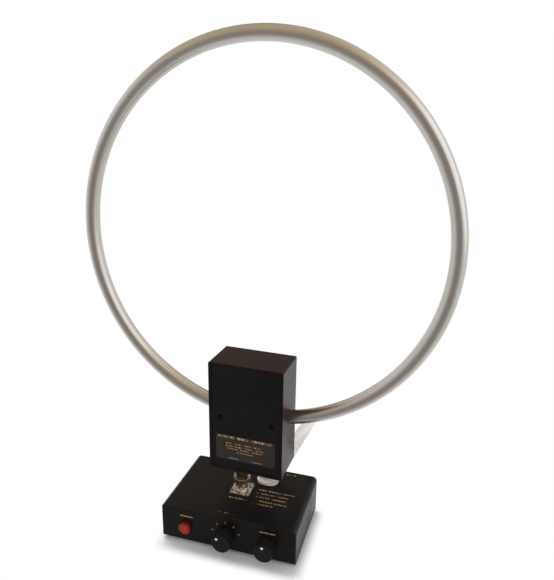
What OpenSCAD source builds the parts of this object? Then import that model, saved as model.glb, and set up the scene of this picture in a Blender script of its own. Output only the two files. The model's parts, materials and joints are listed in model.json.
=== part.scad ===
// Desk-top radio loop antenna: a control box, an amplifier head that plugs on top, and a ring of tube.
// Millimetres. The origin is on the table under the antenna socket, +Z is up, the front faces -Y.

/* [Base box] */
// Width of the base box across its front
base_w = 117; // [106:1:150]
// Depth of the base box, front to back
base_d = 75; // [70:1:110]
// Height of the base box without its feet
base_h = 32; // [30:0.5:45]
// Sheet thickness of the cover
cover_wall = 2.4; // [1.6:0.1:3]
// Outer radius of the cover's long top edges
cover_edge_r = 4.5; // [3.4:0.1:8]
// Radius of the cover's upright corners
cover_corner_r = 1.6; // [0.4:0.1:2.4]
// Width of the lips folded in under the cover
lip_w = 9; // [8:0.5:14]
// Sheet thickness of the chassis
chassis_wall = 1.6; // [1.2:0.1:2.4]
// Inner radius of the chassis bends
bend_r = 0.4; // [0.2:0.1:2]
// Diameter of a rubber foot
foot_d = 10; // [8:0.5:14]
// Height of a rubber foot
foot_h = 2; // [2:0.5:6]
// Edge of a foot to the edge of the base box
foot_inset = 4; // [3:0.5:8]

/* [Screws] */
// Thread diameter of the case screws
case_screw_d = 3; // [2:0.1:3.5]
// Head height of the case screws
case_head_h = 1.4; // [1:0.1:1.8]
// Front-to-back distance between the cover screws
cover_screw_pitch = 34; // [26:1:38]
// Thread diameter of the small screws
small_screw_d = 2.5; // [2:0.1:3]
// Head height of the small screws
small_head_h = 1.4; // [1:0.1:2]

/* [Controls] */
// Height of the control axes above the underside of the box
control_h = 14.2; // [13:0.1:16]
// Middle of the outer controls from the sides of the base box
control_margin = 23; // [19:0.5:26]
// All controls to the right of the middle of the front
band_x = -1; // [-4:0.5:4]
// Angle of the band pointer at rest, from the right, turning left
band_rest = 128; // [90:1:180]
// Angle of the tuning pointer at rest, from the right, turning left
tuning_rest = 98; // [30:1:180]
// Diameter of the push button
button_d = 10.5; // [9:0.5:13]
// How far the push button stands out of the front
button_proud = 4; // [3.5:0.1:7]
// Travel of the push button
button_travel = 3; // [1.5:0.1:3.4]
// Diameter of the push button's stem
stem_d = 5; // [3:0.1:6]
// Diameter of a knob
knob_d = 15.6; // [13.8:0.2:20]
// Length of a knob
knob_len = 11; // [9.5:0.5:16]
// Flutes round a knob
knob_flutes = 18; // [12:1:24]
// Diameter of the control shafts
shaft_d = 6; // [4:0.1:6.4]
// Diameter of the threaded bushes round the shafts
bush_d = 7.4; // [7.2:0.1:8]
// Width across flats of the bush nuts
bush_nut_af = 10; // [9:0.1:10.2]
// Diameter of the band switch's body
switch_d = 19; // [14:0.5:21]
// Depth of the band switch's body
switch_len = 13; // [11:0.5:14]
// Diameter of the tuning control's body
tuner_d = 17; // [14:0.5:21]
// Depth of the tuning control's body
tuner_len = 11; // [10:0.5:14]
// Width and height of the push switch's body
push_w = 16; // [15:0.5:20]

/* [Antenna socket and plug] */
// Width of the socket's square flange
flange_w = 17.5; // [17:0.1:20]
// Thickness of the socket flanges
flange_t = 1.6; // [1.2:0.1:2.5]
// Distance between the flange screws
flange_pitch = 12.7; // [12:0.1:13]
// Outer diameter of the socket barrels
barrel_d = 9.7; // [9:0.1:10]
// Bore of the socket barrels
barrel_bore = 8.1; // [7.6:0.1:8.2]
// Height of the antenna socket's barrel above its flange
barrel_len = 11; // [10.5:0.1:14]
// Diameter of a bayonet lug
lug_d = 2; // [1.6:0.1:2.4]
// How far a bayonet lug stands out of its barrel
lug_proud = 0.7; // [0.5:0.1:0.9]
// Bayonet lugs below the mouth of a barrel
lug_drop = 4.6; // [4:0.1:5]
// Diameter of the coupling nut's grip
nut_d = 14.6; // [14:0.1:17]
// Length of the coupling nut's grip
nut_grip = 3.4; // [2:0.1:4]
// Diameter of the coupling nut's slotted sleeve
nut_sleeve_d = 11.4; // [11:0.1:12.5]
// Length of the coupling nut
nut_len = 10.4; // [10:0.1:13]
// Bayonet lugs above the lower edge of the coupling nut
nut_lug_h = 4; // [3:0.1:5]
// Turn of the coupling nut from locked to open
nut_turn = 80; // [60:1:85]
// Neck of the plug between the coupling nut and the flange under the head
plug_neck = 13.5; // [10:0.5:18]
// Diameter of the plug's neck
plug_neck_d = 10.6; // [10:0.1:13]
// Diameter of the plug's flange under the head
plug_flange_d = 16; // [14:0.5:18]
// Length of the socket bodies behind their walls
socket_rear = 9; // [8:0.5:10]

/* [Rear wall] */
// Distance between the two rear sockets
rear_pitch = 48; // [36:1:60]
// Height of the rear sockets above the underside of the box
rear_h = 18; // [17.5:0.1:18.5]
// Length of the receiver socket's barrel behind its flange
rear_barrel_len = 11; // [10:0.5:14]
// Bore of the supply inlet
jack_bore = 5.6; // [5:0.1:6]
// Diameter of the supply inlet's pin
jack_pin_d = 2.1; // [1.3:0.1:2.5]

/* [Head] */
// Width of the head
head_w = 63; // [60:1:80]
// Height of the head
head_h = 95; // [90:1:130]
// Depth of the head
head_d = 35; // [31:0.5:45]
// Wall of the head's case
head_wall = 3.4; // [3:0.1:4]
// Rim of the case round the lid
head_rim = 2.4; // [1.8:0.1:2.8]
// Radius of the case's corners
head_corner_r = 1.5; // [0.6:0.1:3]
// Middle of the head to the right of the socket's axis
head_offset = 9.5; // [6:0.5:14]
// Turn of the head on the socket as it stands, to the left seen from above
head_turn = -2; // [-45:1:45]
// Thickness of the lid
lid_t = 3; // [2.6:0.1:4]
// Face of the lid below the case's front edge
lid_recess = 0.4; // [0:0.1:1]
// Distance between the lid screws
lid_screw_pitch = 43.6; // [42:0.1:44.4]
// Height of the lid screws above the head's bottom
lid_screw_h = 46.8; // [42:0.1:50]
// Width of the label plate
label_w = 51; // [30:1:54]
// Height of the label plate
label_h = 22.5; // [12:0.5:28]
// Lower edge of the label plate above the head's bottom
label_z = 10; // [5:0.1:12]
// Thickness of the label plate
label_t = 0.4; // [0.2:0.1:1]

/* [Loop] */
// Outer diameter of the ring of tube
loop_d = 305; // [260:1:420]
// Outer diameter of the tube
tube_d = 11.5; // [9:0.5:12]
// Wall of the tube
tube_wall = 1.2; // [0.8:0.1:2]
// Tube behind the middle of the head's depth
loop_back = 5.5; // [4:0.1:6]
// Height at which the tube enters the head's sides
loop_entry_h = 46.2; // [43:0.1:48]
// Middle of the ring to the right of the head's middle
loop_shift = 1.2; // [-2:0.1:2]
// Distance between the tube's ends inside the head
tube_gap = 24; // [18:1:28]

/* [Clear stay] */
// Thickness of the clear stay
stay_t = 4; // [3:0.1:6]
// Middle of the stay's foot to the right of the socket's axis
stay_foot_x = 17; // [16:0.5:20]
// Width of the stay's foot
stay_foot_w = 19; // [16:0.5:22]
// Front of the stay's foot behind the socket's axis
stay_toe_y = 12.3; // [12:0.1:14]
// Place of the stay's tip to the right of the socket's axis
stay_tip_x = 61; // [56:0.5:66]
// Width of the stay's tip
stay_tip_w = 8; // [6:0.5:10]

/* [Fits] */
// Radial gap of turning and sliding fits
run_gap = 0.05; // [0.02:0.01:0.1]
// Gap of fixed fits, such as a screw in its hole
fixed_gap = 0.05; // [0.02:0.01:0.1]
// Gap between parts that pass one another
clear_gap = 0.3; // [0.2:0.05:0.4]
// Seam between the cover and the chassis walls
seam = 0.3; // [0.2:0.05:0.6]
// Seam round the lid
lid_gap = 0.2; // [0.1:0.05:0.4]

/* [Hidden] */
$fn = 64;

// Overshoot of a cut past the face it opens
cut = 1;
// Both sides of a mirrored pair
sides = [-1, 1];

// Levels from the table up
base_z = foot_h;
base_top = base_z + base_h;
floor_top = base_z + chassis_wall;
flange_top = base_top + flange_t;
mouth_z = flange_top + barrel_len;
lug_z = mouth_z - lug_drop;
nut_z = lug_z - nut_lug_h;
plug_flange_t = 2.1;
nut_top = nut_z + nut_len;
head_z = nut_top + plug_neck + plug_flange_t;

// Base box
front_y = -base_d / 2;
rear_y = base_d / 2;
chassis_w = base_w - 2 * (cover_wall + seam);
chassis_h = base_h - cover_wall - seam;
lip_len = base_d - 2 * (chassis_wall + bend_r + seam);
lip_top = floor_top + cover_wall;
cover_screw_x = base_w / 2 - cover_wall - lip_w / 2;
foot_x = base_w / 2 - foot_inset - foot_d / 2;
foot_y = base_d / 2 - foot_inset - foot_d / 2;
clearance_hole = 0.2;
// Length of a screw beyond the part it holds
screw_bite = 8;

// Boards
board_t = 1.6;
pillar_d = 6;
pillar_h = 6;
pillar_x = base_w / 2 - cover_wall - lip_w - pillar_d / 2 - cut;
board_edge = 4;
board_w = 2 * (pillar_x + board_edge);
control_depth = 14;
board_front = front_y + chassis_wall + control_depth + 2;
board_rear = rear_y - chassis_wall - 1.5;
board_top = floor_top + pillar_h + board_t;

// Controls
control_z = base_z + control_h;
button_x = band_x + control_margin - base_w / 2;
tuning_x = band_x + base_w / 2 - control_margin;
wall_back = front_y + chassis_wall;
button_seat = 0.6;
push_recess = button_travel + button_seat + clear_gap;
push_len = control_depth;
stem_len = 6;
bush_proud = 4.5;
bush_nut_t = 2;
knob_lift = 2 * clear_gap;
knob_back = front_y - knob_lift;
knob_front = knob_back - knob_len;
knob_recess = bush_proud - knob_lift + 2 * clear_gap;
knob_face_wall = 1.6;
flute_d = 1.8;
flute_depth = 0.45;
knob_edge = 0.7;
pointer_d = 2.2;
pointer_r = knob_d / 2 - knob_edge - pointer_d / 2 - 0.3;
pointer_t = 0.6;
shaft_rear = 8;
grub_d = 2.5;
grub_y = knob_front + knob_face_wall + grub_d / 2 + 0.5;

// Socket and plug cores
sleeve_len = 8;
socket_depth = 10;
core_d = 4.8;
core_root_d = 6;
core_drop = 1.5;
contact_d = 2.2;
pin_d = 1.36;
contact_bore_len = 7;
pin_reach = 6.5;
tail_len = 4;
plug_bore_d = 5.3;
plug_core_d = 4;
plug_stub_d = 9.2;
plug_stub = 5;
plug_top = head_z + head_wall + plug_stub;
big_nut_af = 13;
big_nut_t = 2.5;
nut_bore_d = barrel_d + 4 * run_gap;
barrel_relief = 0.3;
slot_w = lug_d + clear_gap;
lug_half_angle = asin(slot_w / barrel_d);

// Rear wall
rear_z = base_z + rear_h;
receiver_x = rear_pitch / 2;
jack_x = -rear_pitch / 2;
jack_d = 7.8;
jack_depth = 9.5;
jack_flange_d = 11.2;
jack_nut_af = 11;
rear_flange_d = 14.4;

// Head, in its own frame: middle of its width and depth, bottom at zero
lid_y = -head_d / 2 + lid_recess;
lid_back = lid_y + lid_t;
back_inner = head_d / 2 - head_wall;
loop_r = (loop_d - tube_d) / 2;
loop_cz = loop_entry_h + sqrt(pow(loop_r, 2) - pow(head_w / 2, 2));
gap_angle = asin(tube_gap / 2 / loop_r);
room_angle = 30;
bush_wall = 1.4;
wall_rise = head_wall * tan(asin(head_w / 2 / loop_r));
tube_bush_d = tube_d + 2 * (wall_rise + bush_wall);
clamp_x = lid_screw_pitch / 2;
clamp_w = 2 * (head_w / 2 - head_wall - clearance_hole - clamp_x);
clamp_front = loop_back - tube_d / 2 - 2.5;
clamp_screw_gap = 2;
clamp_screw_z = tube_d / 2 + clamp_screw_gap + small_screw_d / 2;
clamp_h = 2 * (clamp_screw_z + small_screw_d / 2 + 2);
clamp_z = tube_height(clamp_x) - clamp_h / 2;
boss_d = 7;
counterbore = 1.6;
lid_screw_len = lid_t - counterbore + screw_bite;
head_board_w = lid_screw_pitch - boss_d - 2.6;
head_board_back = -5;
head_board_z = head_wall + plug_stub + tail_len + 3.6;
head_board_top = head_h - head_wall - 4.6;
head_pillar_inset = 5;
head_pillar_rise = 12;
head_pillar_x = head_board_w / 2 - head_pillar_inset;
head_pillar_z = [head_board_z + head_pillar_rise, head_board_top - head_pillar_inset];
lead_d = 1.2;
lead_z = head_board_z + head_pillar_inset;

// Clear stay, heights above the top of the base box
stay_y = head_d / 2;
stay_foot_t = 2.5;
stay_foot_r = 7;
stay_foot_d = stay_y + stay_t - stay_toe_y;
stay_tip_z = head_z + tube_height(stay_tip_x - head_offset - loop_shift) - cut;
stay_tip_h = stay_tip_z - base_top;
stay_screw_inset = 4;
stay_screw_z = [5.5, 11];

// Height of the tube's middle above the head's bottom, at a distance from the head's middle
function tube_height(x) = loop_cz - sqrt(pow(loop_r, 2) - pow(x, 2));
// Left edge of the stay at a height above the head's bottom
function stay_left(z) =
    let (share = (head_z + z - base_top - clear_gap) / (stay_tip_h - clear_gap))
    (1 - share) * (stay_foot_x - stay_foot_w / 2) + share * (stay_tip_x - stay_tip_w / 2);
// Head of a screw with this thread
function head_of(d) = 1.85 * d;

// Shared shapes

// Cylinder along X between two places
module rod_x(d, from, to) {
    translate([from, 0, 0]) rotate([0, 90, 0]) cylinder(d = d, h = to - from);
}

// Cylinder along Y between two places
module rod_y(d, from, to) {
    translate([0, from, 0]) rotate([-90, 0, 0]) cylinder(d = d, h = to - from);
}

// Cylinder along Z between two places
module rod_z(d, from, to) {
    translate([0, 0, from]) cylinder(d = d, h = to - from);
}

// Flat outline in Y and Z, drawn out along X
module along_x(len) {
    translate([-len / 2, 0, 0]) rotate([90, 0, 90]) linear_extrude(len) children();
}

// Flat outline in X and Z, drawn out along Y
module along_y(from, to) {
    translate([0, to, 0]) rotate([90, 0, 0]) linear_extrude(to - from) children();
}

// Rectangle on its middle with round corners
module round_rect(w, h, r) {
    square([w - 2 * r, h], center = true);
    square([w, h - 2 * r], center = true);
    for (x = sides, y = sides) translate([x * (w / 2 - r), y * (h / 2 - r)]) circle(r);
}

// Rectangle standing on zero with its two lower corners round
module cup_outline(w, h, r) {
    translate([-w / 2, r]) square([w, h - r]);
    translate([r - w / 2, 0]) square([w - 2 * r, r]);
    for (x = sides) translate([x * (w / 2 - r), r]) circle(r);
}

// Sheet folded into a U, open at the top
module folded_u(w, h, wall, r) {
    difference() {
        cup_outline(w, h, r + wall);
        translate([0, wall]) cup_outline(w - 2 * wall, h, r);
    }
}

// Cross-head screw: the head stands on zero and the thread goes down
module screw(d, len, head_h) {
    head_d = head_of(d);
    difference() {
        union() {
            cylinder(d1 = head_d, d2 = 0.82 * head_d, h = head_h);
            rod_z(d, -len, 0);
        }
        for (turn = [0, 90]) rotate(turn)
            translate([-0.3 * head_d, -0.08 * head_d, head_h / 2])
                cube([0.6 * head_d, 0.16 * head_d, head_h]);
    }
}

// Hexagon nut on zero
module hex_nut(af, t, bore) {
    difference() {
        cylinder(d = af / cos(30), h = t, $fn = 6);
        rod_z(bore, -cut, t + cut);
    }
}

// Four corners of a rectangle on its middle
module at_corners(x, y) {
    for (i = sides, j = sides) translate([i * x, j * y, 0]) children();
}

// Barrel with two bayonet lugs, standing on zero; the land at its mouth guides the plug
module bayonet_barrel(len) {
    reach = barrel_d / 2 + lug_proud;
    rod_z(barrel_d - 2 * barrel_relief, 0, len);
    rod_z(barrel_d, len - lug_drop + lug_d / 2, len);
    translate([0, 0, len - lug_drop]) rod_x(lug_d, -reach, reach);
}

// Bores of a socket: wide at the mouth, narrow behind
module socket_bores(mouth) {
    rod_z(barrel_bore, mouth - socket_depth, mouth + cut);
    rod_z(core_root_d, -socket_rear - cut, mouth);
}

// Insulating core of a socket
module socket_core(mouth) {
    difference() {
        union() {
            rod_z(core_root_d - 2 * fixed_gap, -socket_rear, mouth - socket_depth);
            rod_z(core_d, -socket_rear, mouth - core_drop);
        }
        rod_z(contact_d + 2 * fixed_gap, -socket_rear - cut, mouth);
    }
}

// Middle contact of a socket, with its solder tail
module socket_middle(mouth) {
    top = mouth - core_drop - clear_gap;
    difference() {
        rod_z(contact_d, -socket_rear - tail_len, top);
        rod_z(pin_d + 2 * run_gap, top - contact_bore_len, top + cut);
    }
}

// Ring-shaped run of tube; the angles run right from the lowest point of the loop
module tube_run(from, to) {
    translate([loop_shift, loop_back, loop_cz]) rotate([90, 0, 0]) rotate(from - 90)
        rotate_extrude(angle = to - from) translate([loop_r, 0]) children();
}

// Room for the tube near the head
module tube_room() {
    tube_run(-room_angle, room_angle) circle(tube_d / 2 + fixed_gap);
}

// Place of the head
module on_head() {
    rotate([0, 0, head_turn]) translate([head_offset, 0, head_z]) children();
}

// Outline of the head seen from the front, less a border
module head_outline(border, r) {
    translate([0, head_h / 2]) round_rect(head_w - 2 * border, head_h - 2 * border, r);
}

// Place of the push button and the two turning controls on the front
module at_control(x) {
    translate([x, 0, control_z]) children();
}

// Place of the rear sockets, pointing backwards
module at_rear(x) {
    translate([x, rear_y, rear_z]) rotate([-90, 0, 0]) children();
}

// Body and bush of a turning control behind the front wall
module control_body(d, len) {
    difference() {
        union() {
            rod_y(d, wall_back, wall_back + len);
            rod_y(bush_d, front_y - bush_proud, wall_back);
        }
        rod_y(shaft_d + 2 * run_gap, front_y - bush_proud - cut, wall_back + shaft_rear + clear_gap);
    }
}

// Fluted knob
module knob(rest) {
    difference() {
        union() {
            rod_y(knob_d, knob_front + knob_edge, knob_back);
            translate([0, knob_front, 0]) rotate([-90, 0, 0])
                cylinder(d1 = knob_d - 2 * knob_edge, d2 = knob_d, h = knob_edge);
        }
        rod_y(bush_nut_af / cos(30) + 2 * clear_gap, knob_back - knob_recess, knob_back + cut);
        rod_y(shaft_d + 2 * fixed_gap, knob_front + knob_face_wall, knob_back + cut);
        for (i = [0 : knob_flutes - 1]) rotate([0, i * 360 / knob_flutes, 0])
            translate([knob_d / 2 + flute_d / 2 - flute_depth, 0, 0])
                rod_y(flute_d, knob_front - cut, knob_back + cut);
        knob_pointer_place(rest)
            rod_y(pointer_d + 2 * fixed_gap, knob_front - cut, knob_front + pointer_t);
        grub_place(rest) rod_x(grub_d + 2 * fixed_gap, 0, knob_d);
    }
}

// Place of a knob's pointer dot; angles turn left from the right, seen from the front
module knob_pointer_place(rest) {
    rotate([0, -rest, 0]) translate([pointer_r, 0, 0]) children();
}

// Place of a knob's grub screw, across from its pointer
module grub_place(rest) {
    translate([0, grub_y, 0]) rotate([0, 180 - rest, 0]) children();
}

module knob_shaft() {
    rod_y(shaft_d, knob_front + knob_face_wall + clear_gap, wall_back + shaft_rear);
}

module knob_pointer(rest) {
    knob_pointer_place(rest) rod_y(pointer_d, knob_front, knob_front + pointer_t);
}

module grub_screw(rest) {
    grub_place(rest) rod_x(grub_d, shaft_d / 2 + fixed_gap, knob_d / 2 - 2 * flute_depth);
}

// Base

module base_chassis() {
    color("#202022") difference() {
        translate([0, 0, base_z]) along_x(chassis_w) folded_u(base_d, chassis_h, chassis_wall, bend_r);
        at_control(button_x) rod_y(button_d + 2 * clear_gap, front_y - cut, wall_back + cut);
        for (x = [band_x, tuning_x])
            at_control(x) rod_y(bush_d + 2 * fixed_gap, front_y - cut, wall_back + cut);
        at_rear(receiver_x) rod_z(plug_stub_d + 2 * fixed_gap, -chassis_wall - cut, cut);
        at_rear(jack_x) rod_z(jack_d + 2 * fixed_gap, -chassis_wall - cut, cut);
        at_corners(cover_screw_x, cover_screw_pitch / 2)
            rod_z(case_screw_d + 2 * clearance_hole, base_z - cut, floor_top + cut);
    }
}

module base_cover() {
    color("#1d1d1f") difference() {
        union() {
            intersection() {
                translate([0, 0, base_top]) along_y(front_y, rear_y) mirror([0, 1])
                    folded_u(base_w, base_h, cover_wall, cover_edge_r - cover_wall);
                translate([0, 0, base_z]) along_x(base_w + cut)
                    cup_outline(base_d, base_h + cut, bend_r + chassis_wall);
                translate([0, 0, base_z - cut]) linear_extrude(base_h + 2 * cut)
                    round_rect(base_w, base_d, cover_corner_r);
            }
            for (x = sides) translate([x * cover_screw_x, 0, (floor_top + lip_top) / 2])
                cube([lip_w, lip_len, cover_wall], center = true);
        }
        rod_z(plug_stub_d + 2 * fixed_gap, base_top - cover_wall - cut, base_top + cut);
        at_corners(flange_pitch / 2, flange_pitch / 2)
            rod_z(small_screw_d + 2 * fixed_gap, base_top - cover_wall - cut, base_top + cut);
        at_corners(cover_screw_x, cover_screw_pitch / 2)
            rod_z(case_screw_d + 2 * fixed_gap, floor_top - cut, lip_top + cut);
    }
}

module cover_screws() {
    color("#8e8e92") at_corners(cover_screw_x, cover_screw_pitch / 2)
        translate([0, 0, base_z]) mirror([0, 0, 1]) screw(case_screw_d, lip_top - base_z, case_head_h);
}

module rubber_feet() {
    color("#151515") at_corners(foot_x, foot_y)
        cylinder(d1 = foot_d - foot_h / 2, d2 = foot_d, h = foot_h);
}

module antenna_socket() {
    color("#b9b6ad") translate([0, 0, base_top]) difference() {
        union() {
            linear_extrude(flange_t) round_rect(flange_w, flange_w, 1.5);
            translate([0, 0, flange_t]) bayonet_barrel(barrel_len);
            rod_z(plug_stub_d, -socket_rear, 0);
        }
        socket_bores(flange_t + barrel_len);
        at_corners(flange_pitch / 2, flange_pitch / 2)
            rod_z(small_screw_d + 2 * fixed_gap, -cut, flange_t + cut);
    }
}

module socket_screws() {
    color("#a8a8aa") at_corners(flange_pitch / 2, flange_pitch / 2)
        translate([0, 0, flange_top]) screw(small_screw_d, flange_t + cover_wall + 2, small_head_h);
}

module socket_insulator() {
    color("#ecebe4") translate([0, 0, base_top]) socket_core(flange_t + barrel_len);
}

module socket_contact() {
    color("#c9a552") translate([0, 0, base_top]) socket_middle(flange_t + barrel_len);
}

module circuit_board() {
    color("#2d6a3f") difference() {
        translate([-board_w / 2, board_front, board_top - board_t])
            cube([board_w, board_rear - board_front, board_t]);
        at_pillars() rod_z(small_screw_d + 2 * clearance_hole, -cut, pillar_h + board_t + cut);
    }
}

// Places of the board's pillars, standing on the chassis
module at_pillars() {
    for (x = sides, y = [board_front + board_edge, board_rear - board_edge])
        translate([x * pillar_x, y, floor_top]) children();
}

module board_pillars() {
    color("#c7b06a") at_pillars() difference() {
        rod_z(pillar_d, 0, pillar_h);
        rod_z(small_screw_d + 2 * fixed_gap, cut, pillar_h + cut);
    }
}

module board_screws() {
    color("#a8a8aa") at_pillars() translate([0, 0, pillar_h + board_t])
        screw(small_screw_d, board_t + pillar_h - 2 * cut, small_head_h);
}

module board_parts() {
    can_w = 7.5;
    can_h = 9;
    can_pitch = 11;
    cap_d = 6.3;
    cap_h = 8;
    cap_pitch = 8.5;
    chip = [10, 6, 2.4];
    rear_row = 12;
    color("#9a9da1") translate([0, 0, board_top]) {
        for (i = [-2 : 2]) translate([i * can_pitch - can_w / 2, board_front + board_edge / 2, 0])
            cube([can_w, can_w, can_h]);
        for (i = [0 : 2]) translate([-rear_row - i * cap_pitch, rear_row, 0])
            cylinder(d = cap_d, h = cap_h);
        for (i = [0, 1]) translate([rear_row + (1.5 * i - 0.5) * chip.x, rear_row - chip.y / 2, 0])
            cube(chip);
    }
}

module aerial_lead() {
    color("#b5452f") rod_z(lead_d, board_top, base_top - socket_rear - tail_len);
}

module power_switch() {
    color("#303236") at_control(button_x) difference() {
        translate([-push_w / 2, wall_back, -push_w / 2]) cube([push_w, push_len, push_w]);
        rod_y(button_d + 2 * clear_gap, wall_back - cut, front_y + push_recess);
        rod_y(stem_d + 2 * run_gap, wall_back - cut, front_y + push_recess + stem_len);
    }
}

module band_switch() {
    color("#777c82") at_control(band_x) control_body(switch_d, switch_len);
}

module tuning_control() {
    color("#777c82") at_control(tuning_x) control_body(tuner_d, tuner_len);
}

module control_nuts() {
    color("#c4c4c6") for (x = [band_x, tuning_x]) at_control(x)
        translate([0, front_y, 0]) rotate([90, 0, 0])
            hex_nut(bush_nut_af, bush_nut_t, bush_d + 2 * fixed_gap);
}

module receiver_socket() {
    color("#b9b6ad") at_rear(receiver_x) difference() {
        union() {
            rod_z(rear_flange_d, 0, flange_t);
            translate([0, 0, flange_t]) bayonet_barrel(rear_barrel_len);
            rod_z(plug_stub_d, -socket_rear, 0);
        }
        socket_bores(flange_t + rear_barrel_len);
    }
}

module receiver_insulator() {
    color("#ecebe4") at_rear(receiver_x) socket_core(flange_t + rear_barrel_len);
}

module receiver_contact() {
    color("#c9a552") at_rear(receiver_x) socket_middle(flange_t + rear_barrel_len);
}

module power_jack() {
    color("#1a1a1b") at_rear(jack_x) difference() {
        union() {
            rod_z(jack_flange_d, 0, flange_t);
            rod_z(jack_d, -jack_depth - cut, 0);
        }
        rod_z(jack_bore, flange_t - jack_depth, flange_t + cut);
        rod_z(jack_pin_d + 2 * fixed_gap, -jack_depth - 2 * cut, 0);
    }
}

module power_jack_pin() {
    color("#c9a552") at_rear(jack_x) rod_z(jack_pin_d, -jack_depth - tail_len, flange_t - cut);
}

module rear_nuts() {
    color("#c4c4c6") {
        at_rear(receiver_x) translate([0, 0, -chassis_wall - big_nut_t])
            hex_nut(big_nut_af, big_nut_t, plug_stub_d + 2 * fixed_gap);
        at_rear(jack_x) translate([0, 0, -chassis_wall - big_nut_t])
            hex_nut(jack_nut_af, big_nut_t, jack_d + 2 * fixed_gap);
    }
}

// Moving pieces on the base

module button_cap() {
    edge = 0.8;
    color("#c8322b") at_control(button_x) {
        rod_y(button_d, front_y - button_proud + edge, front_y + button_seat);
        translate([0, front_y - button_proud, 0]) rotate([-90, 0, 0])
            cylinder(d1 = button_d - 2 * edge, d2 = button_d, h = edge);
    }
}

module button_stem() {
    color("#e4e2da") at_control(button_x)
        rod_y(stem_d, front_y + button_seat, front_y + push_recess + stem_len - button_travel - clear_gap);
}

module band_knob() {
    color("#18181a") at_control(band_x) knob(band_rest);
}

module band_shaft() {
    color("#b0b2b5") at_control(band_x) knob_shaft();
}

module band_pointer() {
    color("white") at_control(band_x) knob_pointer(band_rest);
}

module band_grub_screw() {
    color("#55565a") at_control(band_x) grub_screw(band_rest);
}

module tuning_knob() {
    color("#18181a") at_control(tuning_x) knob(tuning_rest);
}

module tuning_shaft() {
    color("#b0b2b5") at_control(tuning_x) knob_shaft();
}

module tuning_pointer() {
    color("white") at_control(tuning_x) knob_pointer(tuning_rest);
}

module tuning_grub_screw() {
    color("#55565a") at_control(tuning_x) grub_screw(tuning_rest);
}

module coupling_nut() {
    knurls = 28;
    knurl_d = 1;
    reach = nut_d / 2;
    color("#c9c8c4") translate([0, 0, nut_z]) difference() {
        union() {
            rod_z(nut_sleeve_d, 0, nut_len);
            rod_z(nut_d, nut_len - nut_grip, nut_len);
        }
        rod_z(nut_bore_d, -cut, nut_len + cut);
        for (lug = [0, 180]) {
            rotate(lug - nut_turn - lug_half_angle) rotate_extrude(angle = nut_turn + 2 * lug_half_angle)
                translate([nut_bore_d / 2 - cut, nut_lug_h - slot_w / 2]) square([reach, slot_w]);
            rotate(lug - nut_turn) translate([0, -slot_w / 2, -cut])
                cube([reach, slot_w, nut_lug_h + cut]);
        }
        for (i = [0 : knurls - 1]) rotate((i + 0.5) * 360 / knurls)
            translate([nut_d / 2 + 0.2, 0, 0]) rod_z(knurl_d, -cut, nut_len + cut);
    }
}

// Head

module head_case() {
    color("#1b1b1d") on_head() difference() {
        union() {
            difference() {
                along_y(-head_d / 2, head_d / 2) head_outline(0, head_corner_r);
                along_y(-head_d / 2 - cut, back_inner) head_outline(head_wall, head_corner_r);
                along_y(-head_d / 2 - cut, lid_back) head_outline(head_rim, head_corner_r);
            }
            at_head_pillars() rod_y(pillar_d, head_board_back, back_inner);
        }
        at_head_pillars() rod_y(small_screw_d + 2 * fixed_gap, head_board_back - cut, back_inner - cut);
        translate([0, loop_back, loop_entry_h])
            rod_x(tube_bush_d + 2 * fixed_gap, -head_w / 2 - cut, head_w / 2 + cut);
        translate([-head_offset, 0, 0]) rod_z(plug_stub_d + 2 * fixed_gap, -cut, head_wall + cut);
        at_clamp_screws() rod_y(small_screw_d + 2 * fixed_gap, back_inner - cut, head_d / 2 + cut);
        at_stay_screws() rod_y(small_screw_d + 2 * fixed_gap, back_inner - cut, head_d / 2 + cut);
    }
}

// Places of the head board's pillars
module at_head_pillars() {
    for (x = sides, z = head_pillar_z) translate([x * head_pillar_x, 0, z]) children();
}

// Places of the lid screws
module at_lid_screws() {
    for (x = sides) translate([x * clamp_x, 0, lid_screw_h]) children();
}

// Places of the clamp screws, above and below the tube
module at_clamp_screws() {
    for (x = sides, z = sides)
        translate([x * clamp_x, 0, tube_height(clamp_x) + z * clamp_screw_z]) children();
}

// Places of the stay's screws, up along its left edge
module at_stay_screws() {
    for (z = stay_screw_z) translate([stay_left(z) + stay_screw_inset - head_offset, 0, z]) children();
}

module head_lid() {
    color("#19191b") on_head() difference() {
        along_y(lid_y, lid_back) head_outline(head_rim + lid_gap, head_corner_r);
        at_lid_screws() {
            rod_y(head_of(small_screw_d) + 2 * clear_gap, lid_y - cut, lid_y + counterbore);
            rod_y(small_screw_d + 2 * clearance_hole, lid_y, lid_back + cut);
        }
    }
}

module lid_screws() {
    color("#4a4a4d") on_head() at_lid_screws() translate([0, lid_y + counterbore, 0]) rotate([90, 0, 0])
        screw(small_screw_d, lid_screw_len, small_head_h);
}

module label_plate() {
    color("#2b2b2f") on_head() translate([0, 0, label_z + label_h / 2])
        along_y(lid_y - label_t, lid_y) round_rect(label_w, label_h, 0.8);
}

module loop_tube() {
    color("#b4b2ac") on_head() tube_run(gap_angle, 360 - gap_angle) difference() {
        circle(tube_d / 2);
        circle(tube_d / 2 - tube_wall);
    }
}

module tube_bushes() {
    color("#141415") on_head() difference() {
        for (x = sides) translate([0, loop_back, loop_entry_h]) mirror([x < 0 ? 1 : 0, 0, 0])
            rod_x(tube_bush_d, head_w / 2 - head_wall, head_w / 2);
        tube_room();
    }
}

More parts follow.
